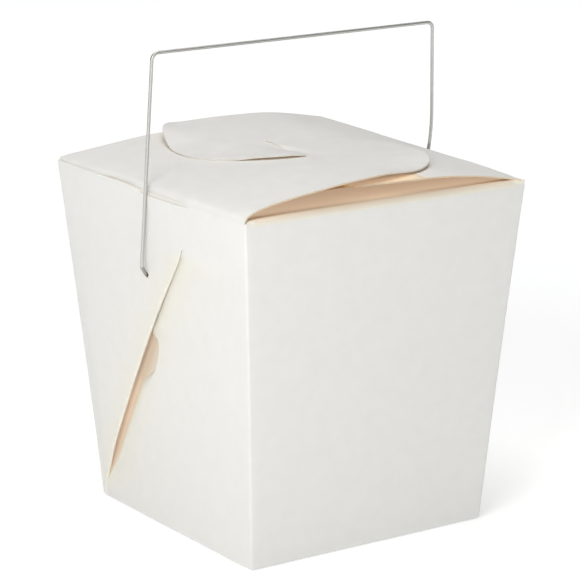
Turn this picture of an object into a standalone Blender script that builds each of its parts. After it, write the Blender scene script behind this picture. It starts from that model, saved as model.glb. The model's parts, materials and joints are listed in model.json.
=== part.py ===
"""Noodle takeaway box: a webbed pail folded from one sheet of board, shut, with a wire bail.

The origin is the centre of the base. X runs along the bail's bar, so the two
ends that carry the wire face -X and +X, and the plain panels face -Y and +Y.
The two closing flaps are hinged on the end rims and lock into each other, and
each is the other turned half a turn about Z. The shut box is one solid piece
with nothing made inside it.
"""
import math

import bmesh
import bpy
from mathutils import Vector

# Body, in metres: half sizes at the rim and at the base.
HEIGHT = 0.100
RIM_X, RIM_Y = 0.0455, 0.0505
BASE_X, BASE_Y = 0.0390, 0.0405
CORNER_RADIUS = 0.0010
FOOT_RADIUS = 0.0008

# Tuck flaps that slope in from the plain panels, under the closing flaps.
TUCK_FOLD = 0.0020        # width of the rounded fold along the rim
TUCK_DIP = 0.0003         # depth where the slope leaves the fold
TUCK_DROP = 0.0025
BED_EDGE = 0.0380         # half width of the solid under the closing flaps
BED_DEPTH = 0.0040

# Board, and the web folds that lie on each end.
SHEET = 0.0007
WEB_RUN = 0.68            # sideways run of a web's fold per unit of height
WEB_TOP = 0.0989
WEB_CUT = 0.0868          # height where the upper web's fold turns upright
INNER_WEB_LIFT = 0.0005
OUTER_WEB_LIFT = 0.0013
WEB_ROOT = 0.0006         # how deep a web's solid reaches into the body
WEB_FOOT = 0.0008

# Closing flaps: how far each half reaches in from the hinge.
SHORT_REACH = 0.0525
TONGUE_EDGE = 0.0140      # how far a tongue reaches past the middle
INNER_CORNER = 0.0200
SHORT_CORNER = 0.0045
FOLD_RUN = 0.0009         # run in which a flap's rolled fold rises
DROOP_START, DROOP_RUN = 0.050, 0.020
NECK, NECK_RUN = 0.005, 0.006    # a flap's side edge steps in beside the rim's corner
EDGE_CURVE = 1.9          # then curves in by this times the run squared
LAP = 0.0005              # rise of a tongue over the flap that it lies on
LAP_START, LAP_RUN = 0.002, 0.004

# Each flap: rise of the rolled fold, arch, sideways tilt, run of the arch, droop
# at the tip, reach, and tip corner.
LEFT_FLAP = {"roll": 0.0016, "arch": 0.0044, "tilt": -0.012, "run": 0.052,
             "droop": 0.0004, "reach": 0.0775, "corner": 0.015}
RIGHT_FLAP = {"roll": 0.0020, "arch": 0.0035, "tilt": 0.060, "run": 0.024,
              "droop": 0.0012, "reach": 0.0715, "corner": 0.012}

# Bail: one wire, bent, with its ends in holes through the board.
WIRE_RADIUS = 0.0005
PIVOT_Y, PIVOT_Z = 0.0020, 0.0755
LEG_FOOT = 0.0468         # leg from the middle, where its foot bends in
FOOT_RISE = 0.0021        # the foot slopes down from there to the pivot line
FOOT_END = 0.0453
LEFT_TOP, RIGHT_TOP = 0.0461, 0.0473
RIGHT_BOW = 0.0490        # the right leg bows out where it passes the lid
BOW_RISE = 0.0305
BAIL_RISE = 0.0633        # bar above the pivot, along the legs
BAIL_LEAN = math.radians(6.4)
WIRE_END = 0.0408
HOLE_RADIUS = 0.0009
HOLE_END = 0.0400
FOOT_BEND, TOP_BEND, BOW_BEND = 0.0008, 0.0020, 0.0900


def clear_scene():
    for scene_object in list(bpy.data.objects):
        bpy.data.objects.remove(scene_object, do_unlink=True)


def new_collection(name):
    collection = bpy.data.collections.new(name)
    bpy.context.scene.collection.children.link(collection)
    return collection


def new_material(name, color, roughness, metallic):
    material = bpy.data.materials.new(name)
    material.use_nodes = True
    shader = material.node_tree.nodes["Principled BSDF"]
    shader.inputs["Base Color"].default_value = (*color, 1.0)
    shader.inputs["Roughness"].default_value = roughness
    shader.inputs["Metallic"].default_value = metallic
    return material


def add_object(name, bm, collection):
    """Store a bmesh as a named object in a collection, with its faces outwards."""
    mesh = bpy.data.meshes.new(name)
    bmesh.ops.recalc_face_normals(bm, faces=bm.faces)
    if bm.calc_volume(signed=True) < 0.0:
        bmesh.ops.reverse_faces(bm, faces=bm.faces)
    bm.to_mesh(mesh)
    bm.free()
    made = bpy.data.objects.new(name, mesh)
    collection.objects.link(made)
    return made


def add_boolean(target, tool, operation):
    """Join a tool to the target, or cut the target with it."""
    tool.hide_render = True
    tool.display_type = "WIRE"
    modifier = target.modifiers.new(tool.name, "BOOLEAN")
    modifier.operation = operation
    modifier.solver = "EXACT"
    modifier.object = tool


def smooth_step(value):
    value = min(1.0, max(0.0, value))
    return value * value * (3.0 - 2.0 * value)


def end_plane(z):
    """Distance of an end's face from the middle, at a height."""
    return BASE_X + (RIM_X - BASE_X) * z / HEIGHT


def side_edge(z):
    """Half width of an end's face, at a height."""
    return BASE_Y + (RIM_Y - BASE_Y) * z / HEIGHT


def body_block(collection):
    """The tapered body, with its upright corners, rim and foot rounded."""
    bm = bmesh.new()
    bmesh.ops.create_cube(bm, size=2.0)
    for vert in bm.verts:
        at_rim = vert.co.z > 0
        half_x = (RIM_X if at_rim else BASE_X) - INNER_WEB_LIFT
        half_y = RIM_Y if at_rim else BASE_Y
        vert.co.x *= half_x
        vert.co.y *= half_y
        vert.co.z = HEIGHT if at_rim else 0.0
    uprights = [e for e in bm.edges if abs(e.verts[0].co.z - e.verts[1].co.z) > 0.5 * HEIGHT]
    bmesh.ops.bevel(bm, geom=uprights, offset=CORNER_RADIUS, segments=4, profile=0.5,
                    affect="EDGES")
    level = [e for e in bm.edges if abs(e.verts[0].co.z - e.verts[1].co.z) < 1e-5]
    bmesh.ops.bevel(bm, geom=level, offset=FOOT_RADIUS, segments=2, profile=0.5,
                    affect="EDGES")
    return add_object("carton", bm, collection)


def tuck_slope(name, turn, collection):
    """Cutter that leaves a tuck flap sloping in and down from a plain panel."""
    bm = bmesh.new()
    bmesh.ops.create_cube(bm, size=2.0)
    for vert in bm.verts:
        at_panel = vert.co.y > 0
        drop = TUCK_DIP if at_panel else TUCK_DROP
        vert.co.x *= RIM_X - TUCK_FOLD
        vert.co.y = turn * (RIM_Y - TUCK_FOLD if at_panel else BED_EDGE - 0.0010)
        vert.co.z = 1.2 * HEIGHT if vert.co.z > 0 else HEIGHT - drop
    return add_object(name, bm, collection)


def flap_rise(flap, run, side):
    """Height over the rim of a closing flap that lies alone.

    run is the distance in from the hinge, and side is the distance from the
    middle line towards the outer edge of the flap's long half.
    """
    fold = flap["roll"] * (1.0 - math.exp(-run / FOLD_RUN))
    swell = (flap["arch"] + flap["tilt"] * side) * math.sin(
        0.5 * math.pi * min(1.0, run / flap["run"]))
    droop = flap["droop"] * max(0.0, (run - DROOP_START) / DROOP_RUN) ** 2
    return fold + swell - droop


def lapped_rise(flap, other, run, side):
    """The same height, kept on top of the other flap past the middle of the lid."""
    own = flap_rise(flap, run, side)
    past_middle = run - RIM_X
    if past_middle < -LAP_START:
        return own
    lift = LAP * smooth_step((past_middle + LAP_START) / LAP_RUN)
    return max(own, flap_rise(other, RIM_X - past_middle, -side) + lift)


def flap_recess(run):
    """How far a flap's side edge stands in from the rim's corner."""
    return NECK * (1.0 - math.exp(-run / NECK_RUN)) + EDGE_CURVE * run * run


def rounded_end(run, reach, radius):
    """How far a rounded corner has drawn an edge in, near the end of a reach."""
    past = max(0.0, min(radius, run - (reach - radius)))
    return radius - math.sqrt(radius * radius - past * past)


def flap_sides(flap, run):
    """Inner and outer edge of a flap, across its width."""
    outer = RIM_Y - flap_recess(run) - rounded_end(run, flap["reach"], flap["corner"])
    if run <= SHORT_REACH:
        inner = flap_recess(run) + rounded_end(run, SHORT_REACH, SHORT_CORNER) - RIM_Y
    else:
        inner = rounded_end(run, flap["reach"], INNER_CORNER) - TONGUE_EDGE
    return inner, outer


def flap_runs(flap):
    """Stations in from the hinge: close at the fold and at the rounded ends."""
    runs = [0.0003, 0.0008, 0.0016, 0.0030, 0.0065, 0.0110, 0.0170, 0.0240, 0.0310, 0.0380]
    runs += [SHORT_REACH - SHORT_CORNER * (1.0 - math.sin(a * math.pi / 8)) for a in range(5)]
    runs += [SHORT_REACH + 0.0005]
    quarter = [math.sin(a * math.pi / 14) for a in range(8)]
    runs += [flap["reach"] - INNER_CORNER * (1.0 - part) for part in quarter]
    return sorted(runs)


def flap_sheet(name, flap, other, turn, collection):
    """One closing flap as a curved sheet; turn is 1 for the +X hinge, -1 for -X."""
    across = 10
    runs = flap_runs(flap)
    bm = bmesh.new()
    rows = []
    for run in runs:
        inner, outer = flap_sides(flap, run)
        row = []
        for step in range(across + 1):
            side = inner + (outer - inner) * step / across
            height = HEIGHT + lapped_rise(flap, other, run, side)
            row.append(bm.verts.new((turn * (RIM_X - run), turn * side, height)))
        rows.append(row)
    for low, high in zip(rows, rows[1:]):
        for i in range(across):
            bm.faces.new((low[i], low[i + 1], high[i + 1], high[i]))
    sheet = add_object(name, bm, collection)
    if sheet.data.polygons[0].normal.z < 0:
        sheet.data.flip_normals()
    solidify = sheet.modifiers.new("board", "SOLIDIFY")
    solidify.thickness = SHEET
    solidify.offset = -1.0
    return sheet


def covers(flap, run, side):
    """Whether a flap reaches over a point of the lid."""
    return run <= SHORT_REACH or (run <= flap["reach"] and side >= -TONGUE_EDGE)


def bed_height(x, y):
    """Top of the solid under the flaps: just inside the lowest flap over a point."""
    places = ((LEFT_FLAP, RIM_X + x, -y), (RIGHT_FLAP, RIM_X - x, y))
    rises = [flap_rise(*place) for place in places if covers(*place)]
    return HEIGHT + min(rises) - 0.5 * SHEET


def lid_bed(collection):
    """The solid under the flaps."""
    bm = bmesh.new()
    bmesh.ops.create_grid(bm, x_segments=24, y_segments=12, size=1.0)
    for vert in bm.verts:
        x = math.sin(0.5 * math.pi * vert.co.x) * (RIM_X - INNER_WEB_LIFT)
        y = vert.co.y * BED_EDGE
        vert.co = Vector((x, y, bed_height(x, y)))
    lower = bmesh.ops.extrude_face_region(bm, geom=list(bm.faces))
    for vert in [v for v in lower["geom"] if isinstance(v, bmesh.types.BMVert)]:
        vert.co.z = HEIGHT - BED_DEPTH
    return add_object("lid_bed", bm, collection)


def web_layer(name, turn, outline, lifts, collection):
    """A folded web lying on an end: an outline of (across, height) points.

    Each point stands off the end by its own lift. Turn is 1 for the +X end and
    -1 for the -X end, which is the same turned half round.
    """
    bm = bmesh.new()
    inner = []
    outer = []
    for (across, z), lift in zip(outline, lifts):
        face = end_plane(z) - INNER_WEB_LIFT
        inner.append(bm.verts.new((turn * (face - WEB_ROOT), -turn * across, z)))
        outer.append(bm.verts.new((turn * (face + lift), -turn * across, z)))
    count = len(outline)
    for i in range(count):
        j = (i + 1) % count
        bm.faces.new((inner[i], inner[j], outer[j], outer[i]))
    bm.faces.new(inner)
    bm.faces.new(outer)
    bmesh.ops.triangulate(bm, faces=bm.faces)
    return add_object(name, bm, collection)


def web_fold(z):
    """Distance across an end of a web's fold, from the web's own upright edge."""
    return side_edge(0.0) - WEB_RUN * z


def end_webs(turn, collection):
    """Both webs of one end: the inner one first, then the outer one over it."""
    edge_low = side_edge(WEB_FOOT) - CORNER_RADIUS
    edge_top = side_edge(WEB_TOP) - CORNER_RADIUS
    inner_outline = [(-edge_low, WEB_FOOT), (-edge_top, WEB_TOP), (-web_fold(WEB_TOP), WEB_TOP)]
    inner_lifts = [INNER_WEB_LIFT] * 3
    outer_outline = [(edge_low, WEB_FOOT), (edge_top, WEB_TOP), (web_fold(WEB_CUT), WEB_TOP)]
    outer_lifts = [INNER_WEB_LIFT, INNER_WEB_LIFT, 2.0 * INNER_WEB_LIFT]
    for z in (WEB_CUT, 0.6 * HEIGHT, 0.4 * HEIGHT, 0.2 * HEIGHT):
        outer_outline.append((web_fold(z), z))
        outer_lifts.append(OUTER_WEB_LIFT + INNER_WEB_LIFT)
    side = "right" if turn > 0 else "left"
    return [web_layer("inner_web_" + side, turn, inner_outline, inner_lifts, collection),
            web_layer("outer_web_" + side, turn, outer_outline, outer_lifts, collection)]


def wire_hole(turn, collection):
    """Cutter for the hole that a wire end turns in."""
    depth = RIM_X + 0.004 - HOLE_END
    bpy.ops.mesh.primitive_cylinder_add(
        vertices=16, radius=HOLE_RADIUS, depth=depth,
        location=(turn * (HOLE_END + 0.5 * depth), PIVOT_Y, PIVOT_Z),
        rotation=(0.0, 0.5 * math.pi, 0.0))
    cutter = bpy.context.active_object
    cutter.name = "hole_right" if turn > 0 else "hole_left"
    for owner in list(cutter.users_collection):
        owner.objects.unlink(cutter)
    collection.objects.link(cutter)
    return cutter


def linked_verts(start):
    """All the vertices joined to one by edges."""
    found = {start}
    waiting = [start]
    while waiting:
        for edge in waiting.pop().link_edges:
            for vert in edge.verts:
                if vert not in found:
                    found.add(vert)
                    waiting.append(vert)
    return found


def keep_outer_skin(joined):
    """Apply the Booleans, and fill the pockets that are shut in between the flaps."""
    depsgraph = bpy.context.evaluated_depsgraph_get()
    mesh = bpy.data.meshes.new_from_object(joined.evaluated_get(depsgraph))
    bm = bmesh.new()
    bm.from_mesh(mesh)
    skin = linked_verts(max(bm.verts, key=lambda v: v.co.x))
    pockets = [vert for vert in bm.verts if vert not in skin]
    bmesh.ops.delete(bm, geom=pockets, context="VERTS")
    bm.to_mesh(mesh)
    bm.free()
    joined.modifiers.clear()
    joined.data = mesh


def build_carton(parts, tools):
    carton = body_block(parts)
    for turn in (1, -1):
        name = "back_tuck" if turn > 0 else "front_tuck"
        add_boolean(carton, tuck_slope(name, turn, tools), "DIFFERENCE")
    joined = [lid_bed(tools),
              flap_sheet("right_flap", RIGHT_FLAP, LEFT_FLAP, 1, tools),
              flap_sheet("left_flap", LEFT_FLAP, RIGHT_FLAP, -1, tools)]
    for turn in (1, -1):
        joined += end_webs(turn, tools)
    for tool in joined:
        add_boolean(carton, tool, "UNION")
    for turn in (1, -1):
        add_boolean(carton, wire_hole(turn, tools), "DIFFERENCE")
    keep_outer_skin(carton)
    carton.data.materials.clear()
    carton.data.materials.append(new_material("white_board", (0.83, 0.83, 0.81), 0.55, 0.0))
    return carton


def bent_path(start, corners, end, steps):
    """The points of a wire whose corners, given as (place, radius), are bent."""
    places = [start] + [place for place, _ in corners] + [end]
    path = [start]
    for index, (corner, radius) in enumerate(corners, start=1):
        back = (places[index - 1] - corner).normalized()
        ahead = (places[index + 1] - corner).normalized()
        half = 0.5 * back.angle(ahead)
        centre = corner + (back + ahead).normalized() * (radius / math.sin(half))
        spoke = corner + back * (radius / math.tan(half)) - centre
        for step in range(steps + 1):
            turned = (math.pi - 2.0 * half) * step / steps
            path.append(centre + spoke * math.cos(turned) - back * radius * math.sin(turned))
    path.append(end)
    return path


def on_bail(x, rise):
    """A point in the bail's leaning plane, at a height along its legs."""
    return Vector((x, -rise * math.sin(BAIL_LEAN), rise * math.cos(BAIL_LEAN)))


def build_bail(parts):
    """The wire: a bar, two legs, and feet that slope in to ends in the holes."""
    pivot = bpy.data.objects.new("bail_pivot", None)
    pivot.location = (0.0, PIVOT_Y, PIVOT_Z)
    parts.objects.link(pivot)

    corners = [(on_bail(-FOOT_END, 0.0), FOOT_BEND),
               (on_bail(-LEG_FOOT, FOOT_RISE), FOOT_BEND),
               (on_bail(-LEFT_TOP, BAIL_RISE), TOP_BEND),
               (on_bail(RIGHT_TOP, BAIL_RISE), TOP_BEND),
               (on_bail(RIGHT_BOW, BOW_RISE), BOW_BEND),
               (on_bail(LEG_FOOT, FOOT_RISE), FOOT_BEND),
               (on_bail(FOOT_END, 0.0), FOOT_BEND)]
    points = bent_path(on_bail(-WIRE_END, 0.0), corners, on_bail(WIRE_END, 0.0), 6)

    curve = bpy.data.curves.new("bail", "CURVE")
    curve.dimensions = "3D"
    curve.bevel_depth = WIRE_RADIUS
    curve.bevel_resolution = 2
    curve.use_fill_caps = True
    spline = curve.splines.new("POLY")
    spline.points.add(len(points) - 1)
    for spline_point, place in zip(spline.points, points):
        spline_point.co = (*place, 1.0)
    bail = bpy.data.objects.new("bail", curve)
    bail.parent = pivot
    parts.objects.link(bail)
    curve.materials.append(new_material("bright_wire", (0.62, 0.62, 0.62), 0.3, 1.0))
    return bail


clear_scene()
part_collection = new_collection("noodle_takeaway_box")
tool_collection = new_collection("tools")
build_carton(part_collection, tool_collection)
build_bail(part_collection)
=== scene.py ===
"""Looks of a shut noodle takeaway box: a folded board pail, woven top flaps and a wire bail."""
import json
import math

import bpy
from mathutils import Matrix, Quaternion, Vector


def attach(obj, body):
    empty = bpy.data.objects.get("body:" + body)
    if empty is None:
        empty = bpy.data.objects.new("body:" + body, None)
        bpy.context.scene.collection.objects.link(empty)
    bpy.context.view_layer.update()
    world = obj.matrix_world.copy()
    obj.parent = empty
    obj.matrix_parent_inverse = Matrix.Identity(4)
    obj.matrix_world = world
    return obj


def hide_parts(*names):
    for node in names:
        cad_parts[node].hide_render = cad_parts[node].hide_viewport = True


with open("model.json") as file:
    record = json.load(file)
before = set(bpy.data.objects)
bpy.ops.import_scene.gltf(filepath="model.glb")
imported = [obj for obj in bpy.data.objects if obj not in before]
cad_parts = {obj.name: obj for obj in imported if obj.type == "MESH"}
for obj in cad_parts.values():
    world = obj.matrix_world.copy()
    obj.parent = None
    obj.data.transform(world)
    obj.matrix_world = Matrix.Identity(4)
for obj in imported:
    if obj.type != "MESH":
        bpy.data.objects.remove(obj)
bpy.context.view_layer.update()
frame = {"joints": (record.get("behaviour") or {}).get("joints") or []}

# ---- Floor, light and camera ------------------------------------------------------------
# A white studio table with soft light all round, a little stronger from the left.
# The long lens looks at the near corner from just above the lid.
MM = 0.001


def linear(hex_color):
    """An sRGB hex colour as linear RGBA."""
    shares = [int(hex_color[i:i + 2], 16) / 255.0 for i in (1, 3, 5)]
    shares = [c / 12.92 if c <= 0.04045 else ((c + 0.055) / 1.055) ** 2.4 for c in shares]
    return (*shares, 1.0)


def add_node(tree, kind, settings, links):
    """Add a node; settings go to its properties or sockets, links to its input sockets."""
    node = tree.nodes.new(kind)
    for key, value in settings.items():
        if isinstance(key, str) and hasattr(node, key):
            setattr(node, key, value)
        else:
            node.inputs[key].default_value = value
    for key, socket in links.items():
        tree.links.new(socket, node.inputs[key])
    return node


def new_material(name):
    """A material with only its Principled shader, and that shader."""
    material = bpy.data.materials.new(name)
    material.use_nodes = True
    return material, material.node_tree.nodes["Principled BSDF"]


# The table lies just under the box, and glows more further out, so it runs into the white.
bpy.ops.object.select_all(action="DESELECT")
bpy.ops.mesh.primitive_plane_add(size=12.0, location=(0.0, 0.0, -0.05 * MM))
floor = bpy.context.object
floor.name = "white_table"
table_paint, table_shader = new_material("white_laminate")
table_shader.inputs["Base Color"].default_value = linear("#F7F7F6")
table_shader.inputs["Roughness"].default_value = 0.9
tree = table_paint.node_tree
where = add_node(tree, "ShaderNodeTexCoord", {}, {}).outputs["Object"]
away = add_node(tree, "ShaderNodeVectorMath", {"operation": "LENGTH"}, {0: where}).outputs["Value"]
sweep = add_node(tree, "ShaderNodeMapRange", {"From Min": 0.20, "From Max": 0.70, "To Min": 0.275,
                                              "To Max": 0.55}, {"Value": away})
table_shader.inputs["Emission Color"].default_value = linear("#F7FBFF")
tree.links.new(sweep.outputs["Result"], table_shader.inputs["Emission Strength"])
floor.data.materials.append(table_paint)

world = bpy.data.worlds.new("studio_white")
world.use_nodes = True
world.node_tree.nodes["Background"].inputs["Color"].default_value = (1.0, 1.0, 1.0, 1.0)
world.node_tree.nodes["Background"].inputs["Strength"].default_value = 0.235
bpy.context.scene.world = world


def add_softbox(name, place, size, watts):
    """A square area light aimed at the middle of the box."""
    bpy.ops.object.light_add(type="AREA", location=place)
    lamp = bpy.context.object
    lamp.name = name
    lamp.data.size = size
    lamp.data.energy = watts
    lamp.data.color = linear("#FFFEFC")[:3]
    lamp.visible_camera = False
    toward = Vector((0.0, 0.0, 0.06)) - Vector(place)
    lamp.rotation_euler = toward.to_track_quat("-Z", "Y").to_euler()


add_softbox("near_softbox", (-0.362, -0.272, 0.283), 0.20, 1.01)
add_softbox("top_softbox", (0.0, 0.0, 1.5), 1.2, 13.9)

aim = Vector((1.0 * MM, 0.0, 64.8 * MM))
azimuth, elevation, roll = math.radians(-33.39), math.radians(14.26), math.radians(-0.46)
back = Vector((math.sin(azimuth) * math.cos(elevation), -math.cos(azimuth) * math.cos(elevation),
               math.sin(elevation)))
distance = 0.7863
bpy.ops.object.camera_add(location=aim + back * distance)
camera = bpy.context.object
camera.data.lens = 170.67
camera.data.clip_start = 0.01
turned = (-back).to_track_quat("-Z", "Y") @ Quaternion((0.0, 0.0, 1.0), roll)
camera.rotation_euler = turned.to_euler()
bpy.context.scene.camera = camera
bpy.context.scene.view_settings.view_transform = "Standard"

# ---- Pail -------------------------------------------------------------------------------
# The pail is one die-cut sheet of white coated board, creased and folded up, so its corners
# have no seam: the spare board there is folded flat into webs, which lie on the two ends.
# The back panel's web laps over the front panel's on the -X end, and the other way on +X.
BOARD = 0.45 * MM
RIM_Z = 100.0 * MM
# Half widths from the middle to the outside, at the rim and at the base.
RIM_X = 45.5 * MM
RIM_Y = 50.5 * MM
BASE_X = 39.0 * MM
BASE_Y = 40.5 * MM
CORNER_RADIUS = 0.7 * MM
BASE_RADIUS = 1.0 * MM
ROLL_RADIUS = 2.0 * MM
WALL_TOP = RIM_Z - ROLL_RADIUS
# The webs' layers still lift the end faces a little at the rim, where they are pressed hard.
RIM_LIFT = 0.3 * MM
# No painted light: no painted warm shade, glow or shade.
PLAIN = (0.0, 0.0, 0.0)


def ease(value):
    """A smooth step from 0 to 1."""
    value = min(1.0, max(0.0, value))
    return value * value * (3.0 - 2.0 * value)


def mix(first, second, share):
    """The first value at share 0, the second at 1, and between them a blend."""
    return first + (second - first) * share


def spread(x, z):
    """X with the rim's spread: the sprung flaps push the walls out near the top, +X more."""
    most = (0.9 if x > 0.0 else 0.55) * MM
    share = min(1.0, max(0.0, (z / MM - 35.0) / 65.0))
    return x * (1.0 + most * share ** 1.5 / RIM_X)


def outer_fold(z):
    """Place across the -X end of the upper web's free fold, which turns upright near the rim."""
    bow = 2.2 * MM * math.sin(math.pi * min(1.0, z / (90.0 * MM)))
    slanted = 40.6 * MM - 0.68 * z + bow
    upright = -17.7 * MM - 0.2 * (z - 82.0 * MM)
    spare = slanted - upright
    return upright + 0.5 * (spare + math.hypot(spare, 1.8 * MM))


def fold_gap(z):
    """How far the lower web's fold stands in front of the upper web's, which it then passes under.

    It draws away on the way up, comes back in a round lobe, and is hidden above that.
    """
    if z < 47.0 * MM:
        return 0.15 * z
    if z < 58.0 * MM:
        return 7.05 * MM * math.sqrt(1.0 - ((z / MM - 47.0) / 11.0) ** 2)
    return -1.4 * MM * ease((z / MM - 58.0) / 3.0)


def near_corner(across, turn_y):
    """The layers on an end thin out to nothing within 8 mm of the upright corners."""
    return ease((turn_y - abs(across)) / (8.0 * MM))


def end_profile(z, turn_y):
    """The -X end's folded layers at a height, from front to back: (across, lift, painted_light).

    Lift is how far the surface stands off the end's nominal face. The painted light is how warm
    the board is painted there for warm shade, how much painted glow stands in for light soaking
    through it, and how much painted shade darkens it.
    """
    # The upper web's fold stands free over most of the height, and is pressed flat at its ends.
    free = ease(z / (8.0 * MM)) * (1.0 - ease((z - 82.5 * MM) / (4.5 * MM)))
    hem = 2.0 * BOARD * free
    under = 3.0 * MM * free
    flat = 0.1 * MM * (1.0 - free)
    outer = min(outer_fold(z), turn_y - 1.2 * MM)
    # Lifts of the upper web, of the bare panel behind the webs, and of the lower web.
    top = mix(1.3 * MM * ease(z / (22.0 * MM)), RIM_LIFT, ease((z - 62.0 * MM) / (30.0 * MM)))
    panel = -1.1 * MM * ease(z / (18.0 * MM))
    near = ease((z - 25.0 * MM) / (28.0 * MM))
    space = mix(0.5 * MM, 0.1 * MM, ease((z - 62.0 * MM) / (18.0 * MM)))
    inner_lift = mix(panel + 0.25 * MM, top - hem - space * free, near)
    # How far the panel runs in under the upper web, and where the lower web's fold lies.
    last = outer + under - 6.0 * flat
    inner = max(min(outer - fold_gap(z), last - 0.4 * under - 0.4 * MM), 0.6 * MM - turn_y)
    soft = mix(0.15 * z, 0.7 * MM, ease((z - 40.0 * MM) / (8.0 * MM)))
    soft = min(soft, max(0.05 * MM, last - 0.2 * MM - inner))
    panel = mix(inner_lift, panel, free)
    # Above the lobe the webs cross. Below it the band of painted warm shade widens upwards, and turns
    # firm-edged.
    crossed = ease((z - 58.2 * MM) / (4.0 * MM))
    band = 0.5 * MM + 0.12 * z
    firm = ease((z - 38.0 * MM) / (8.0 * MM))

    def painted_light(across, recess):
        """The painted light at a place: painted warm shade, glow and shade; recess says how far down
        towards the lower panel it lies.
        """
        gap = max(0.0, outer - across)
        # Painted warm shade: a band beside the upper web's fold below the lobe, and a faint halo of it
        # further out.
        even = 1.0 - 0.5 * min(1.0, gap / (7.0 * MM))
        below = 0.42 * mix(1.0 - ease(gap / band), recess * even, firm) * ease(z / (10.0 * MM))
        warm = max(mix(below, 0.0, crossed), 0.12 * math.exp(-gap / (9.0 * MM)))
        # Painted glow right at the fold, and painted shade along it, wide below the lobe and narrow
        # above it.
        painted_glow = mix(0.13, 0.08, crossed) * math.exp(-gap / (0.7 * MM))
        wide = 0.2 * firm * math.exp(-gap / (2.5 * MM))
        narrow = 0.3 * math.exp(-gap / (0.9 * MM))
        return warm * free, painted_glow * free, mix(wide, narrow, crossed) * free

    points = []
    # The lower web, up to its fold.
    for i in range(22):
        share = 1.0 - (1.0 - i / 22) ** 2
        across = mix(-turn_y, inner, share)
        points.append((across, inner_lift * near_corner(across, turn_y), painted_light(across, 0.0)))
    # Down from that fold to the bare panel.
    for i in range(6):
        across = inner + soft * i / 6
        points.append((across, mix(inner_lift, panel, ease(i / 6)), painted_light(across, ease(i / 6))))
    # Along the bare panel, in under the upper web.
    for i in range(19):
        share = 1.0 - (1.0 - i / 18) ** 1.8
        across = mix(inner + soft, last, share)
        points.append((across, panel, painted_light(across, 1.0)))
    # Back out along the upper web's underside, in painted warm shade with a little painted glow.
    for i in range(4):
        across = mix(outer + under, outer + 0.5 * hem, i / 4) + (i - 5) * flat
        points.append((across, top - hem, (mix(0.45, 0.15, crossed) * free, 0.06 * free, 0.0)))
    # Round the upper web's fold, with painted warm shade, a little painted glow towards its nose, and a
    # little painted shade above the lobe.
    for i in range(7):
        angle = math.pi * i / 6
        across = outer + 0.5 * hem * (1.0 - math.sin(angle)) + (i - 1) * flat
        lift = top - 0.5 * hem * (1.0 + math.cos(angle))
        nose = (1.0 - i / 6) ** 2
        shown = (mix(0.1, 0.25, nose) * free, 0.04 * nose * free, 0.05 * crossed * free)
        points.append((across, lift, shown))
    # The upper web, on to the back corner, with faint painted warm shade fading away from its fold.
    for i in range(1, 22):
        across = mix(outer + 0.5 * hem + 6.0 * flat, turn_y, (i / 22) ** 1.5)
        warm = 0.1 * math.exp(-(across - outer) / (8.0 * MM)) * free
        points.append((across, top * near_corner(across, turn_y), (warm, 0.0, 0.0)))
    return points


PANEL_STEPS = 14
CORNER_STEPS = 6


def half_outline(z, inset):
    """(x, y, painted_light) from the middle of the front panel, round the -X end, to the back's middle.
    """
    half_x = mix(BASE_X, RIM_X, z / RIM_Z) - inset
    half_y = mix(BASE_Y, RIM_Y, z / RIM_Z) - inset
    radius = max(CORNER_RADIUS - inset, 0.3 * MM)
    turn_x = half_x - radius
    turn_y = half_y - radius
    arc = [0.5 * math.pi * i / CORNER_STEPS for i in range(CORNER_STEPS)]
    points = [(-turn_x * i / PANEL_STEPS, -half_y, PLAIN) for i in range(PANEL_STEPS)]
    for angle in arc:
        points.append((-turn_x - radius * math.sin(angle), -turn_y - radius * math.cos(angle), PLAIN))
    for across, lift, painted_light in end_profile(z, turn_y):
        points.append((-half_x - lift, across, painted_light))
    for angle in arc:
        points.append((-turn_x - radius * math.cos(angle), turn_y + radius * math.sin(angle), PLAIN))
    return points + [(-turn_x * (1.0 - i / PANEL_STEPS), half_y, PLAIN) for i in range(PANEL_STEPS)]


def lay_board(name, columns, rows, place):
    """A sheet of board: a grid whose crossings are moved to their places, each with its painted warm
    shade, glow and shade.
    """
    bpy.ops.object.select_all(action="DESELECT")
    bpy.ops.mesh.primitive_grid_add(x_subdivisions=columns, y_subdivisions=rows, size=1.0)
    sheet = bpy.context.object
    sheet.name = name
    sheet.data.name = name
    painted_lights = sheet.data.attributes.new("painted_light", "FLOAT_VECTOR", "POINT")
    for vert in sheet.data.vertices:
        column = round((vert.co.x + 0.5) * columns)
        row = round((vert.co.y + 0.5) * rows)
        x, y, z, painted_light = place(column, row)
        vert.co = (x, y, z)
        painted_lights.data[vert.index].vector = painted_light
    return sheet


def join_board(sheets):
    """Join sheets that meet edge to edge, and weld them where they touch."""
    bpy.ops.object.select_all(action="DESELECT")
    for sheet in sheets:
        sheet.select_set(True)
    bpy.context.view_layer.objects.active = sheets[0]
    if len(sheets) > 1:
        bpy.ops.object.join()
    bpy.ops.object.mode_set(mode="EDIT")
    bpy.ops.mesh.select_all(action="SELECT")
    bpy.ops.mesh.remove_doubles(threshold=0.002 * MM)
    bpy.ops.object.mode_set(mode="OBJECT")
    return sheets[0]


def pick_edges(sheet, wanted):
    """Select, in edit mode, the open edges whose two ends both pass a test."""
    bpy.ops.object.mode_set(mode="EDIT")
    bpy.ops.mesh.select_mode(type="EDGE")
    bpy.ops.mesh.select_all(action="DESELECT")
    bpy.ops.mesh.select_non_manifold(extend=False, use_wire=False, use_multi_face=False,
                                     use_non_contiguous=False, use_verts=False)
    bpy.ops.object.mode_set(mode="OBJECT")
    verts = sheet.data.vertices
    for edge in sheet.data.edges:
        edge.select = edge.select and all(wanted(verts[i].co) for i in edge.vertices)
    bpy.ops.object.mode_set(mode="EDIT")


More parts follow.
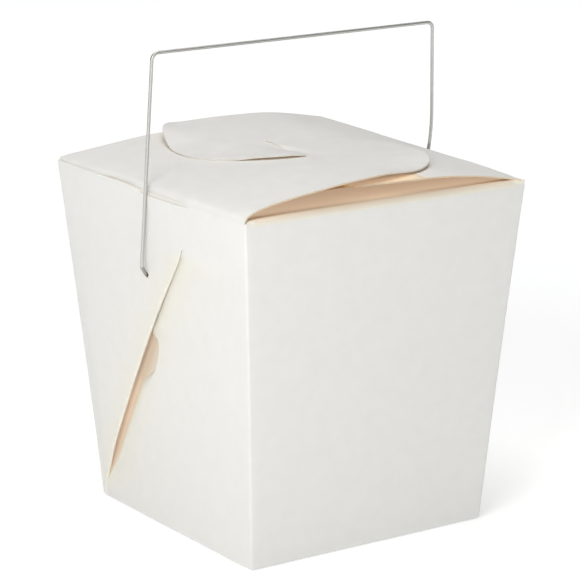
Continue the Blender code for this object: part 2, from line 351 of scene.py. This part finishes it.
def extrude_to(move, scale_x=1.0):
    """Extrude the selected edges by a move, then draw them in along X."""
    bpy.ops.mesh.extrude_region_move(TRANSFORM_OT_translate={"value": move})
    if scale_x != 1.0:
        bpy.ops.transform.resize(value=(scale_x, 1.0, 1.0), center_override=(0.0, 0.0, 0.0))


# Rows of the wall, each a height and an inset: five round the base's edge, then up to the roll.
WALL_STEPS = 66
wall_rows = []
for step in range(5):
    angle = 0.1 * math.pi * step
    wall_rows.append((BASE_RADIUS * (1.0 - math.cos(angle)), BASE_RADIUS * (1.0 - math.sin(angle))))
wall_rows += [(mix(BASE_RADIUS, WALL_TOP, i / WALL_STEPS), 0.0) for i in range(WALL_STEPS + 1)]
halves = [half_outline(z, inset) for z, inset in wall_rows]
outlines = [half + [(-x, -y, painted_light) for x, y, painted_light in half] for half in halves]
COLUMNS = len(outlines[0])


def wall_place(column, row):
    """Where a crossing of the wall's grid goes; its columns run round the pail and meet."""
    x, y, painted_light = outlines[row][(COLUMNS - column) % COLUMNS]
    z = wall_rows[row][0]
    return spread(x, z), y, z, painted_light


pail = join_board([lay_board("pail", COLUMNS, len(wall_rows) - 1, wall_place)])
turn_x = mix(BASE_X, RIM_X, WALL_TOP / RIM_Z) - CORNER_RADIUS
turn_y = mix(BASE_Y, RIM_Y, WALL_TOP / RIM_Z) - CORNER_RADIUS
SLACK = 0.01 * MM

# The bottom is closed by one flat face.
pick_edges(pail, lambda co: co.z < SLACK)
bpy.ops.mesh.edge_face_add()
bpy.ops.object.mode_set(mode="OBJECT")

# The webs end in a cut edge, which hides the flap's crease behind it, dips in the middle of
# the end, and lies just under the crease where the flap grows out of the same layer.
for sign in (-1.0, 1.0):
    corner_x = sign * spread(sign * turn_x, WALL_TOP)
    pick_edges(pail, lambda co: co.z > WALL_TOP - SLACK and sign * co.x > corner_x - SLACK)
    extrude_to((sign * 0.06 * MM, 0.0, 0.9 * MM))
    bpy.ops.object.mode_set(mode="OBJECT")
pick_edges(pail, lambda co: co.z > WALL_TOP + 0.5 * MM and abs(co.y) > turn_y - SLACK)
extrude_to((0.0, 0.0, 0.6 * MM))
bpy.ops.object.mode_set(mode="OBJECT")
for vert in pail.data.vertices:
    if vert.co.z > WALL_TOP + 0.5 * MM:
        across = -math.copysign(1.0, vert.co.x) * vert.co.y / MM
        full = 1.05 if vert.co.z < WALL_TOP + 1.2 * MM else 0.65
        dip = 0.4 * ease((across + 20.0) / 4.0) * (1.0 - ease((across - 1.0) / 6.0))
        vert.co.z += (full * ease((across - 1.0) / 9.0) - dip) * MM

# The plain panels roll over at the rim into tuck flaps, which slope down under the lid.
ROLL_TURN = math.radians(97.0)
ROLL_STEPS = 8
TUCK_STEPS = 12
face_y = turn_y + CORNER_RADIUS
for sign in (-1.0, 1.0):
    pick_edges(pail, lambda co: abs(co.z - WALL_TOP) < SLACK and sign * co.y > face_y - SLACK)
    place = (0.0, 0.0)
    for step in range(1, ROLL_STEPS + 1):
        angle = ROLL_TURN * step / ROLL_STEPS
        ahead = (ROLL_RADIUS * (1.0 - math.cos(angle)), ROLL_RADIUS * math.sin(angle))
        extrude_to((0.0, -sign * (ahead[0] - place[0]), ahead[1] - place[1]))
        place = ahead
    for step in range(TUCK_STEPS):
        extrude_to((0.0, -sign * 3.0 * MM, -0.37 * MM), 0.988)
    bpy.ops.object.mode_set(mode="OBJECT")

# Painted light on the tuck flaps: painted warm shade that deepens further in, a painted glow for
# light soaking through, which starts just past the roll and fades a little deeper under the lid,
# and painted shade near the roll. Their roll at the rim gets painted warm shade and painted shade
# too. The painted shade is strongest away from the corners, where it dulls the light let in under the
# lid.
painted_lights = pail.data.attributes["painted_light"]
for vert in pail.data.vertices:
    x, y, z = abs(vert.co.x), abs(vert.co.y), vert.co.z
    depth = RIM_Y - 2.2 * MM - y
    away_from_corners = ease((turn_x - x) / (26.0 * MM))
    if z > 94.0 * MM and x < turn_x and depth > 0.0:
        warm = mix(0.3, 0.75, ease(depth / (9.0 * MM)))
        painted_glow = 0.245 * ease((depth - 2.0 * MM) / (6.0 * MM)) - 0.05 * ease(depth / (34.0 * MM))
        painted_shade = mix(0.14, 0.3, ease(depth / (2.5 * MM)))
        painted_shade *= 1.0 - ease((depth - 3.5 * MM) / (6.0 * MM))
        painted_lights.data[vert.index].vector = (warm, painted_glow, painted_shade * away_from_corners)
    elif z > WALL_TOP - SLACK:
        inside = ease((turn_x - x) / (2.5 * MM)) if y > turn_y - 2.0 * MM else 0.0
        warm = 0.3 * ease((z - 97.9 * MM) / (2.2 * MM)) * inside
        painted_shade = 0.14 * ease((z - 98.7 * MM) / (1.3 * MM)) * inside
        painted_lights.data[vert.index].vector = (warm, 0.0, painted_shade * away_from_corners)

# The lower webs' cut edges stand behind the upper webs' on each end, a little higher.
STRIP_COLUMNS = 20
strips = [pail]
for sign in (-1.0, 1.0):
    def strip_place(column, row):
        """Where a crossing of the strip goes, a board's thickness behind the upper web."""
        z = (95.0 + 2.2 * row) * MM
        x = sign * (mix(BASE_X, RIM_X, z / RIM_Z) + RIM_LIFT - BOARD - 0.02 * MM)
        return spread(x, z), sign * mix(-18.0, 20.0, column / STRIP_COLUMNS) * MM, z, PLAIN

    strips.append(lay_board("inner_web_edge", STRIP_COLUMNS, 2, strip_place))
pail = join_board(strips)


def clay_coated_board():
    """Bleached board with a brushed clay coat: a matt white that shows faint fibre clouds.

    The warm colours are painted warm shade, for light bounced inside the box; the emission is a
    painted glow, for light soaked through the thin board; and painted shade darkens the colour.
    """
    material, shader = new_material("white_clay_coated_board")
    tree = material.node_tree
    where = add_node(tree, "ShaderNodeTexCoord", {}, {}).outputs["Object"]
    painted_light = add_node(tree, "ShaderNodeAttribute", {"attribute_name": "painted_light"}, {}).outputs["Vector"]
    painted_light = add_node(tree, "ShaderNodeSeparateXYZ", {}, {"Vector": painted_light}).outputs
    # The ramp runs from the board's own white to the tans of the painted warm shade.
    ramp = add_node(tree, "ShaderNodeValToRGB", {}, {"Fac": painted_light["X"]})
    stops = ramp.color_ramp.elements
    stops[0].color = linear("#E8E7E4")
    stops[1].color = linear("#E6CAA4")
    for place, shade in ((0.12, "#EAE7DA"), (0.4, "#DFC9B0"), (0.75, "#E5D2B4")):
        stops.new(place).color = linear(shade)
    # Painted shade darkens the colour.
    lit = add_node(tree, "ShaderNodeMath", {"operation": "SUBTRACT", 0: 1.0}, {1: painted_light["Z"]})
    # Fibre clouds are about 4 mm across, and the coat's tooth 0.1 mm, drawn at 0.5 mm to show.
    clouds = add_node(tree, "ShaderNodeTexNoise", {"Scale": 250.0, "Detail": 2.0}, {"Vector": where})
    depth = add_node(tree, "ShaderNodeMapRange", {"From Min": 0.3, "From Max": 0.7, "To Min": 0.975,
                                                  "To Max": 1.0}, {"Value": clouds.outputs["Fac"]})
    depth = add_node(tree, "ShaderNodeMath", {"operation": "MULTIPLY"},
                     {0: depth.outputs["Result"], 1: lit.outputs["Value"]})
    paint = add_node(tree, "ShaderNodeVectorMath", {"operation": "SCALE"},
                     {0: ramp.outputs["Color"], "Scale": depth.outputs["Value"]})
    tree.links.new(paint.outputs["Vector"], shader.inputs["Base Color"])
    gloss = add_node(tree, "ShaderNodeMapRange", {"From Min": 0.3, "From Max": 0.7, "To Min": 0.46,
                                                  "To Max": 0.56}, {"Value": clouds.outputs["Fac"]})
    tree.links.new(gloss.outputs["Result"], shader.inputs["Roughness"])
    tooth = add_node(tree, "ShaderNodeTexNoise", {"Scale": 2000.0, "Detail": 2.0}, {"Vector": where})
    bump = add_node(tree, "ShaderNodeBump", {"Strength": 0.25, "Distance": 0.02 * MM},
                    {"Height": tooth.outputs["Fac"]})
    tree.links.new(bump.outputs["Normal"], shader.inputs["Normal"])
    # Painted glow: the emission stands in for light soaking through the board.
    glow = add_node(tree, "ShaderNodeVectorMath", {"operation": "SCALE", 0: linear("#FFF7EC")[:3]},
                    {"Scale": painted_light["Y"]})
    tree.links.new(glow.outputs["Vector"], shader.inputs["Emission Color"])
    shader.inputs["Emission Strength"].default_value = 1.0
    return material


def raw_edge():
    """Die-cut edge of the pulp plies: rough, speckled with fibre ends, and painted tan shade over the
    gaps.
    """
    material, shader = new_material("raw_board_edge")
    tree = material.node_tree
    where = add_node(tree, "ShaderNodeTexCoord", {}, {}).outputs["Object"]
    painted_light = add_node(tree, "ShaderNodeAttribute", {"attribute_name": "painted_light"}, {}).outputs["Vector"]
    painted_light = add_node(tree, "ShaderNodeSeparateXYZ", {}, {"Vector": painted_light}).outputs
    # The ramp runs from the pulp's own off-white to the tan of the painted warm shade.
    ramp = add_node(tree, "ShaderNodeValToRGB", {}, {"Fac": painted_light["X"]})
    stops = ramp.color_ramp.elements
    stops[0].color = linear("#EAE7DF")
    stops[1].position = 0.6
    stops[1].color = linear("#E8CCA2")
    # Torn fibre ends are about 0.3 mm apart.
    fibres = add_node(tree, "ShaderNodeTexNoise", {"Scale": 3300.0, "Detail": 1.0}, {"Vector": where})
    depth = add_node(tree, "ShaderNodeMapRange", {"From Min": 0.3, "From Max": 0.7, "To Min": 0.90,
                                                  "To Max": 1.0}, {"Value": fibres.outputs["Fac"]})
    paint = add_node(tree, "ShaderNodeVectorMath", {"operation": "SCALE"},
                     {0: ramp.outputs["Color"], "Scale": depth.outputs["Result"]})
    tree.links.new(paint.outputs["Vector"], shader.inputs["Base Color"])
    shader.inputs["Roughness"].default_value = 0.85
    bump = add_node(tree, "ShaderNodeBump", {"Strength": 0.4, "Distance": 0.05 * MM},
                    {"Height": fibres.outputs["Fac"]})
    tree.links.new(bump.outputs["Normal"], shader.inputs["Normal"])
    return material


def uncoated_back():
    """The side that meets the food: bare warm pulp with long pale fibres, under a thin film.

    Its dim glow is a painted glow, for light that soaks through from the lit side.
    """
    material, shader = new_material("uncoated_board_back")
    tree = material.node_tree
    where = add_node(tree, "ShaderNodeTexCoord", {}, {}).outputs["Object"]
    # Fibres are 1.5 mm long and run from end to end of the box, drawn 0.4 mm wide to show.
    stretch = add_node(tree, "ShaderNodeMapping", {"Scale": (650.0, 2600.0, 2600.0)}, {"Vector": where})
    fibres = add_node(tree, "ShaderNodeTexNoise", {"Scale": 1.0, "Detail": 2.0},
                      {"Vector": stretch.outputs["Vector"]})
    ramp = add_node(tree, "ShaderNodeValToRGB", {}, {"Fac": fibres.outputs["Fac"]})
    stops = ramp.color_ramp.elements
    stops[0].position, stops[1].position = 0.3, 0.7
    stops[0].color = linear("#EAD8BD")
    stops[1].color = linear("#F1E3CD")
    tree.links.new(ramp.outputs["Color"], shader.inputs["Base Color"])
    shader.inputs["Roughness"].default_value = 0.7
    # Painted glow, for light soaking through from the lit side.
    shader.inputs["Emission Color"].default_value = linear("#8A6F50")
    shader.inputs["Emission Strength"].default_value = 0.25
    bump = add_node(tree, "ShaderNodeBump", {"Strength": 0.3, "Distance": 0.03 * MM},
                    {"Height": fibres.outputs["Fac"]})
    tree.links.new(bump.outputs["Normal"], shader.inputs["Normal"])
    return material


MATERIALS = [clay_coated_board(), raw_edge(), uncoated_back()]


def finish_board(piece):
    """Give a sheet of board its thickness, its three finishes and its place in the frame."""
    for material in MATERIALS:
        piece.data.materials.append(material)
    bpy.ops.object.select_all(action="DESELECT")
    piece.select_set(True)
    bpy.context.view_layer.objects.active = piece
    thick = piece.modifiers.new("board", "SOLIDIFY")
    thick.thickness = BOARD
    thick.offset = -1.0
    thick.material_offset = 2
    thick.material_offset_rim = 1
    if "thin" in piece.vertex_groups:
        thick.vertex_group = "thin"
        thick.invert_vertex_group = True
        thick.thickness_vertex_group = 0.05
    bpy.ops.object.modifier_apply(modifier="board")
    bpy.ops.object.shade_smooth_by_angle(angle=math.radians(35.0))
    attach(piece, "carton")
    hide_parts("carton")


# The folded edge is pressed down to nothing at both of its ends.
thin = pail.vertex_groups.new(name="thin")
for vert in pail.data.vertices:
    z = vert.co.z
    across = -math.copysign(1.0, vert.co.x) * vert.co.y
    at_end = max(ease((z - 80.0 * MM) / (3.0 * MM)) * (1.0 - ease((z - 90.0 * MM) / (3.0 * MM))),
                 1.0 - ease((z - 7.0 * MM) / (3.0 * MM)))
    beside = 1.0 - ease((abs(across - outer_fold(z)) - 3.0 * MM) / (2.0 * MM))
    thin.add([vert.index], at_end * beside, "REPLACE")
finish_board(pail)

# A round hole is punched through the webs on each end, on the line that the bail turns on.
pivot = Vector(frame["joints"][0]["pos_m"])
for sign in (-1.0, 1.0):
    bpy.ops.object.select_all(action="DESELECT")
    bpy.ops.mesh.primitive_cylinder_add(vertices=32, radius=0.85 * MM, depth=6.0 * MM,
                                        location=(sign * 45.0 * MM, pivot.y, pivot.z),
                                        rotation=(0.0, 0.5 * math.pi, 0.0))
    punch = bpy.context.object
    for material in MATERIALS:
        punch.data.materials.append(material)
    for face in punch.data.polygons:
        face.material_index = 1
    hole = pail.modifiers.new("hole", "BOOLEAN")
    hole.operation = "DIFFERENCE"
    hole.solver = "FAST"
    hole.object = punch
    bpy.context.view_layer.objects.active = pail
    bpy.ops.object.modifier_apply(modifier="hole")
    bpy.data.objects.remove(punch)

# ---- Closing flaps ----------------------------------------------------------------------
# Each end panel runs on past its crease as a closing flap of the same board, with a short half
# and a long one that ends in a rounded tongue. The flaps are nearly the same cut, turned half
# round, and each tongue goes through the other's slit onto its short half, so the box stays shut.
ROOT = 45.5 * MM
TONGUE = 11.0 * MM
LOBE = 52.5 * MM
LOBE_CORNER = 4.5 * MM
NECK = 0.5 * MM
FLAP_COLUMNS = 70
SLIT_COLUMN = 22
MIDDLE_COLUMN = 36
WALL_FLAP_ROWS = 3
CREASE_ROWS = 9
ROOT_ROWS = 40
LOBE_ROWS = 8
TONGUE_ROWS = 30


def left_height(run, side):
    """Height above the rim of the left flap, before it meets the other one.

    Run is the way from the crease, and side is the way across, towards the long half.
    """
    rise = 0.9 + 4.1 * math.sin(0.5 * math.pi * min(1.0, run / (45.0 * MM)))
    rise += 0.7 * (1.0 - math.exp(-run / (2.5 * MM)))
    rise -= 0.5 * ease((side / MM - 40.0) / 10.0) * math.exp(-run / (6.0 * MM))
    tilt = -0.0095 * (side / MM) * ease(run / (30.0 * MM))
    droop = -0.9 * ease((run / MM - 50.0) / 14.0) * ease((side / MM - 25.0) / 12.0)
    return (rise + tilt + droop) * MM


def right_height(run, side):
    """Height above the rim of the right flap, which twists up towards the back."""
    rise = 1.7 + 4.0 * math.sin(0.5 * math.pi * min(1.0, run / (29.0 * MM)))
    rise -= 0.6 * ease((-side / MM - 25.0) / 25.0) * math.exp(-run / (8.0 * MM))
    arch = (1.0 - math.exp(-run / (6.0 * MM))) * math.exp(-run / (30.0 * MM))
    rise += 1.05 * ease((-side / MM - 25.0) / 20.0) * arch
    fast = 1.0 - math.exp(-run / (7.0 * MM))
    slow = 0.5 * (ease(run / (45.0 * MM)) + min(1.0, run / (42.0 * MM)))
    behind = ease(side / (40.0 * MM) + 0.4)
    tilt = (0.02 + mix(0.048, 0.031, behind) * mix(fast, slow, behind)) * (side / MM)
    droop = -1.7 * ease((run / MM - 52.0) / 19.5) * (1.0 - 1.9 * ease((side / MM - 22.0) / 16.0))
    return (rise + tilt + droop) * MM


def rounded(from_edge, reach, corner):
    """How far the tongue reaches, this far in from its edge, with the corner rounded off."""
    along, across, power = corner
    into = min(1.0, max(0.0, 1.0 - from_edge / across))
    return reach - along + along * (1.0 - into ** power) ** (1.0 / power)


def half_width(run, cut):
    """Half width of a flap at a run from its crease: a neck beside the corner, then a curve."""
    neck, curve = cut
    run = max(run, 0.0)
    return RIM_Y - NECK - (neck - NECK) * (1.0 - math.exp(-run / (6.0 * MM))) - curve * run * run


def flap_side(column, run, long_cut):
    """Columns run from the short half's edge, past the slit and the middle, to the long edge."""
    if column <= SLIT_COLUMN:
        share = math.sin(0.5 * math.pi * (SLIT_COLUMN - column) / SLIT_COLUMN)
        return -mix(TONGUE, half_width(run, SHORT_CUT), share)
    if column <= MIDDLE_COLUMN:
        return -TONGUE * (MIDDLE_COLUMN - column) / (MIDDLE_COLUMN - SLIT_COLUMN)
    share = (column - MIDDLE_COLUMN) / (FLAP_COLUMNS - MIDDLE_COLUMN)
    return half_width(run, long_cut) * math.sin(0.5 * math.pi * share)


def painted_edge_warmth(run, side):
    """Painted warm shade on the cut edges where they hang over the front and back gaps."""
    warm = 0.35 * ease((abs(side) / MM - 31.0) / 6.0) * ease((56.0 - run / MM) / 8.0)
    return warm, 0.0, 0.0


# Short cut and "long" are a half's neck beside the corner and its curve. Reach is how far the
# tongue's tip lies from the crease, and "outer" and "inner" are the tip's rounded corners: length,
# width and power. Hump is how far the tongue arches past the slit, and "painted_warm_glow" is how
# much painted warm shade and painted glow the short half gets in the gap under the other flap.
SHORT_CUT = (5.0 * MM, 1.9)
FLAPS = {
    "left_flap": {"sign": -1.0, "own": left_height, "other": right_height, "reach": 76.6 * MM,
                  "outer": (15.0 * MM, 15.0 * MM, 2.0), "inner": (20.0 * MM, 20.0 * MM, 1.3),
                  "long": (4.2 * MM, 1.9), "hump": 0.0, "painted_warm_glow": 0.0},
    "right_flap": {"sign": 1.0, "own": right_height, "other": left_height, "reach": 70.6 * MM,
                   "outer": (14.0 * MM, 27.0 * MM, 1.55), "inner": (25.0 * MM, 24.0 * MM, 1.7),
                   "long": (4.9 * MM, 0.45), "hump": 0.6, "painted_warm_glow": 1.0},
}


def make_flap(name, flap):
    """One closing flap: its root up to the middle, the short half's lobe, and the tongue."""
    sign, own, other = flap["sign"], flap["own"], flap["other"]
    reach, long_cut = flap["reach"], flap["long"]

    def over_other(run, side):
        """Height above the rim of the tongue, which climbs over the other flap."""
        mine = own(run, side)
        past = run - ROOT
        over = ease(past / (3.0 * MM) - side / (7.0 * MM))
        spare = other(2.0 * RIM_X - run, -side) + 0.47 * MM - mine
        hump = flap["hump"] * MM * ease((past / MM + 1.0) / 6.0) * ease((21.0 - past / MM) / 8.0)
        hump *= ease((4.0 - side / MM) / 12.0)
        return mine + over * (0.5 * (spare + math.hypot(spare, 0.3 * MM)) + hump)

    def painted_light(run, side, column):
        """Painted warm shade and painted glow on the short half, under the other flap's tongue, and
        painted warm shade on the edges.
        """
        if column in (0, FLAP_COLUMNS):
            return painted_edge_warmth(run, side)
        warm = flap["painted_warm_glow"] * ease((-side / MM - 34.0) / 5.0) * ease((run / MM - 27.0) / 6.0)
        return warm, 0.17 * warm, 0.0

    def setback(side):
        """How far behind the webs' face the crease lies: one layer, two, then none."""
        layers = mix(0.55, 0.95, ease((side / MM + 25.0) / 5.0))
        return mix(layers, 0.0, ease((side / MM - 16.0) / 7.0)) * MM

    def root_place(column, row):
        """The first rows run up inside the end wall, the next round the crease, then to the middle."""
        if row < WALL_FLAP_ROWS:
            side = max(-turn_y, min(turn_y, flap_side(column, 0.0, long_cut)))
            z = (96.0 + 1.42 * row) * MM
            x = mix(BASE_X, RIM_X, z / RIM_Z) + RIM_LIFT * near_corner(side, turn_y)
            return spread(sign * (x - setback(side) - 0.02 * MM), z), sign * side, z, PLAIN
        turned = 0.5 * math.pi * min(1.0, (row - WALL_FLAP_ROWS) / CREASE_ROWS)
        roll = mix(0.5, 1.5, ease((flap_side(column, 0.0, long_cut) / MM - 14.0) / 10.0)) * MM
        onward = max(0.0, (row - WALL_FLAP_ROWS - CREASE_ROWS) / ROOT_ROWS)
        run = mix(roll * (1.0 - math.cos(turned)), ROOT, onward)
        side = flap_side(column, run, long_cut)
        bottom = 99.4 * MM
        z = bottom + (RIM_Z + own(run, side) - bottom) * math.sin(turned)
        corner = max(0.0, abs(side) - turn_y)
        fold = RIM_X - CORNER_RADIUS + math.sqrt(max(0.0, CORNER_RADIUS ** 2 - corner ** 2))
        fold -= setback(side)
        fold += RIM_LIFT * near_corner(side, turn_y)
        x = RIM_X - run + (fold - RIM_X) * math.exp(-run / (3.0 * MM))
        return spread(sign * x, RIM_Z), sign * side, z, painted_light(run, side, column)

    def lobe_place(column, row):
        """The end of the short half, with one rounded corner."""
        side = flap_side(column, ROOT, long_cut)
        corner = max(0.0, LOBE_CORNER - (half_width(ROOT, SHORT_CUT) + side))
        stop = LOBE - LOBE_CORNER + math.sqrt(max(0.0, LOBE_CORNER ** 2 - corner ** 2))
        run = mix(ROOT, stop, row / LOBE_ROWS)
        side -= 0.15 * MM * ease((run - ROOT) / (0.5 * MM)) * ease((side + TONGUE + 1.0 * MM) / MM)
        return sign * (RIM_X - run), sign * side, RIM_Z + own(run, side), painted_light(run, side, column)

    def tongue_place(column, row):
        """The tongue, past the slit, with a rounded corner at each side of its tip."""
        column += SLIT_COLUMN
        side = flap_side(column, reach, long_cut)
        stop = min(rounded(half_width(reach, long_cut) - side, reach, flap["outer"]),
                   rounded(side + TONGUE, reach, flap["inner"]))
        start = ROOT + 0.3 * MM * ease(-side / (2.0 * MM))
        run = mix(start, stop, row / TONGUE_ROWS)
        side = flap_side(column, run, long_cut)
        side += 0.15 * MM * ease(1.0 - (side + TONGUE) / MM)
        shown = painted_edge_warmth(run, side) if row == TONGUE_ROWS else painted_light(run, side, column)
        return sign * (RIM_X - run), sign * side, RIM_Z + over_other(run, side), shown

    root = lay_board(name, FLAP_COLUMNS, WALL_FLAP_ROWS + CREASE_ROWS + ROOT_ROWS, root_place)
    lobe = lay_board(name + "_lobe", SLIT_COLUMN, LOBE_ROWS, lobe_place)
    tongue = lay_board(name + "_tongue", FLAP_COLUMNS - SLIT_COLUMN, TONGUE_ROWS, tongue_place)
    finish_board(join_board([root, lobe, tongue]))


for name, flap in FLAPS.items():
    make_flap(name, flap)

# ---- Wire bail --------------------------------------------------------------------------
# The bail is one length of bright drawn steel wire, 1 mm thick. Its two feet are bent in and
# pass through holes in the webs, so it swings down either way.
WIRE_RADIUS = 0.5 * MM
FOOT_END = 40.8 * MM
LEAN = math.radians(6.4)


def on_bail(x, rise):
    """A point of the bail, which leans a little to the front as it stands."""
    return pivot + Vector((x, -rise * math.sin(LEAN), rise * math.cos(LEAN)))


def bent_path(start, corners, end, steps):
    """Points along a wire bent to a radius at each corner."""
    places = [start] + [place for place, _ in corners] + [end]
    path = [start]
    for index, (corner, radius) in enumerate(corners, start=1):
        back = (places[index - 1] - corner).normalized()
        ahead = (places[index + 1] - corner).normalized()
        half = 0.5 * back.angle(ahead)
        centre = corner + (back + ahead).normalized() * (radius / math.sin(half))
        spoke = corner + back * (radius / math.tan(half)) - centre
        for step in range(steps + 1):
            turned = (math.pi - 2.0 * half) * step / steps
            path.append(centre + spoke * math.cos(turned) - back * radius * math.sin(turned))
    path.append(end)
    return path


# Each bend's place along the ends and up the bail, and its radius, in millimetres.
bends = [(-45.3, 0.0, 0.7), (-46.85, 2.5, 0.7), (-46.1, 63.3, 2.0), (47.3, 63.3, 2.0),
         (49.9, 31.0, 60.0), (46.8, 2.1, 0.8), (45.3, 0.0, 0.8)]
corners = [(on_bail(x * MM, rise * MM), radius * MM) for x, rise, radius in bends]
path = bent_path(on_bail(-FOOT_END, 0.0), corners, on_bail(FOOT_END, 0.0), 10)
curve = bpy.data.curves.new("wire_bail", "CURVE")
curve.dimensions = "3D"
curve.bevel_depth = WIRE_RADIUS
curve.bevel_resolution = 6
curve.use_fill_caps = True
spline = curve.splines.new("POLY")
spline.points.add(len(path) - 1)
for point, place in zip(spline.points, path):
    point.co = (*place, 1.0)
wire = bpy.data.objects.new("wire_bail", curve)
bpy.context.scene.collection.objects.link(wire)
bpy.ops.object.select_all(action="DESELECT")
wire.select_set(True)
bpy.context.view_layer.objects.active = wire
bpy.ops.object.convert(target="MESH")
wire = bpy.context.object
bpy.ops.object.shade_smooth_by_angle(angle=math.radians(40.0))
# Every vertex keeps where it is round the wire and along it, for marks that run lengthwise,
# and how much painted shade darkens it, along the feet where they go into the holes.
wire.data.attributes.new("grain", "FLOAT_VECTOR", "POINT")
wire.data.attributes.new("painted_foot_shade", "FLOAT", "POINT")
grain = wire.data.attributes["grain"]
painted_foot_shade = wire.data.attributes["painted_foot_shade"]
ring = len(wire.data.vertices) // len(path)
travelled = [0.0]
for before, after in zip(path, path[1:]):
    travelled.append(travelled[-1] + (after - before).length)
for index in range(ring * len(path)):
    around = 2.0 * math.pi * (index % ring) / ring
    along = travelled[index // ring]
    grain.data[index].vector = (math.cos(around), math.sin(around), along / (3.0 * MM))
    from_foot = min(along, travelled[-1] - along)
    painted_foot_shade.data[index].value = 1.0 - ease((from_foot - 6.6 * MM) / (1.6 * MM))


def drawn_steel():
    """Bright low-carbon wire, pulled through a die: soft gloss with fine marks along it."""
    material, shader = new_material("bright_drawn_steel")
    tree = material.node_tree
    grain = add_node(tree, "ShaderNodeAttribute", {"attribute_name": "grain"}, {}).outputs["Vector"]
    # Die marks are 0.05 mm wide, drawn at about 0.2 mm to show, and change every 1.2 mm or so.
    marks = add_node(tree, "ShaderNodeTexNoise", {"Scale": 2.5, "Detail": 3.0}, {"Vector": grain})
    ramp = add_node(tree, "ShaderNodeValToRGB", {}, {"Fac": marks.outputs["Fac"]})
    stops = ramp.color_ramp.elements
    stops[0].position, stops[1].position = 0.3, 0.7
    stops[0].color = linear("#BDBCB8")
    stops[1].color = linear("#D2D1CD")
    # Painted shade darkens the feet where they go into the holes.
    foot_shade = add_node(tree, "ShaderNodeAttribute", {"attribute_name": "painted_foot_shade"}, {}).outputs["Fac"]
    bright = add_node(tree, "ShaderNodeMapRange", {"To Min": 1.0, "To Max": 0.42}, {"Value": foot_shade})
    paint = add_node(tree, "ShaderNodeVectorMath", {"operation": "SCALE"},
                     {0: ramp.outputs["Color"], "Scale": bright.outputs["Result"]})
    tree.links.new(paint.outputs["Vector"], shader.inputs["Base Color"])
    gloss = add_node(tree, "ShaderNodeMapRange", {"From Min": 0.3, "From Max": 0.7, "To Min": 0.36,
                                                  "To Max": 0.52}, {"Value": marks.outputs["Fac"]})
    tree.links.new(gloss.outputs["Result"], shader.inputs["Roughness"])
    shader.inputs["Metallic"].default_value = 1.0
    bump = add_node(tree, "ShaderNodeBump", {"Strength": 0.3, "Distance": 0.02 * MM},
                    {"Height": marks.outputs["Fac"]})
    tree.links.new(bump.outputs["Normal"], shader.inputs["Normal"])
    return material


wire.data.materials.append(drawn_steel())
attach(wire, "bail")
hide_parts("bail")
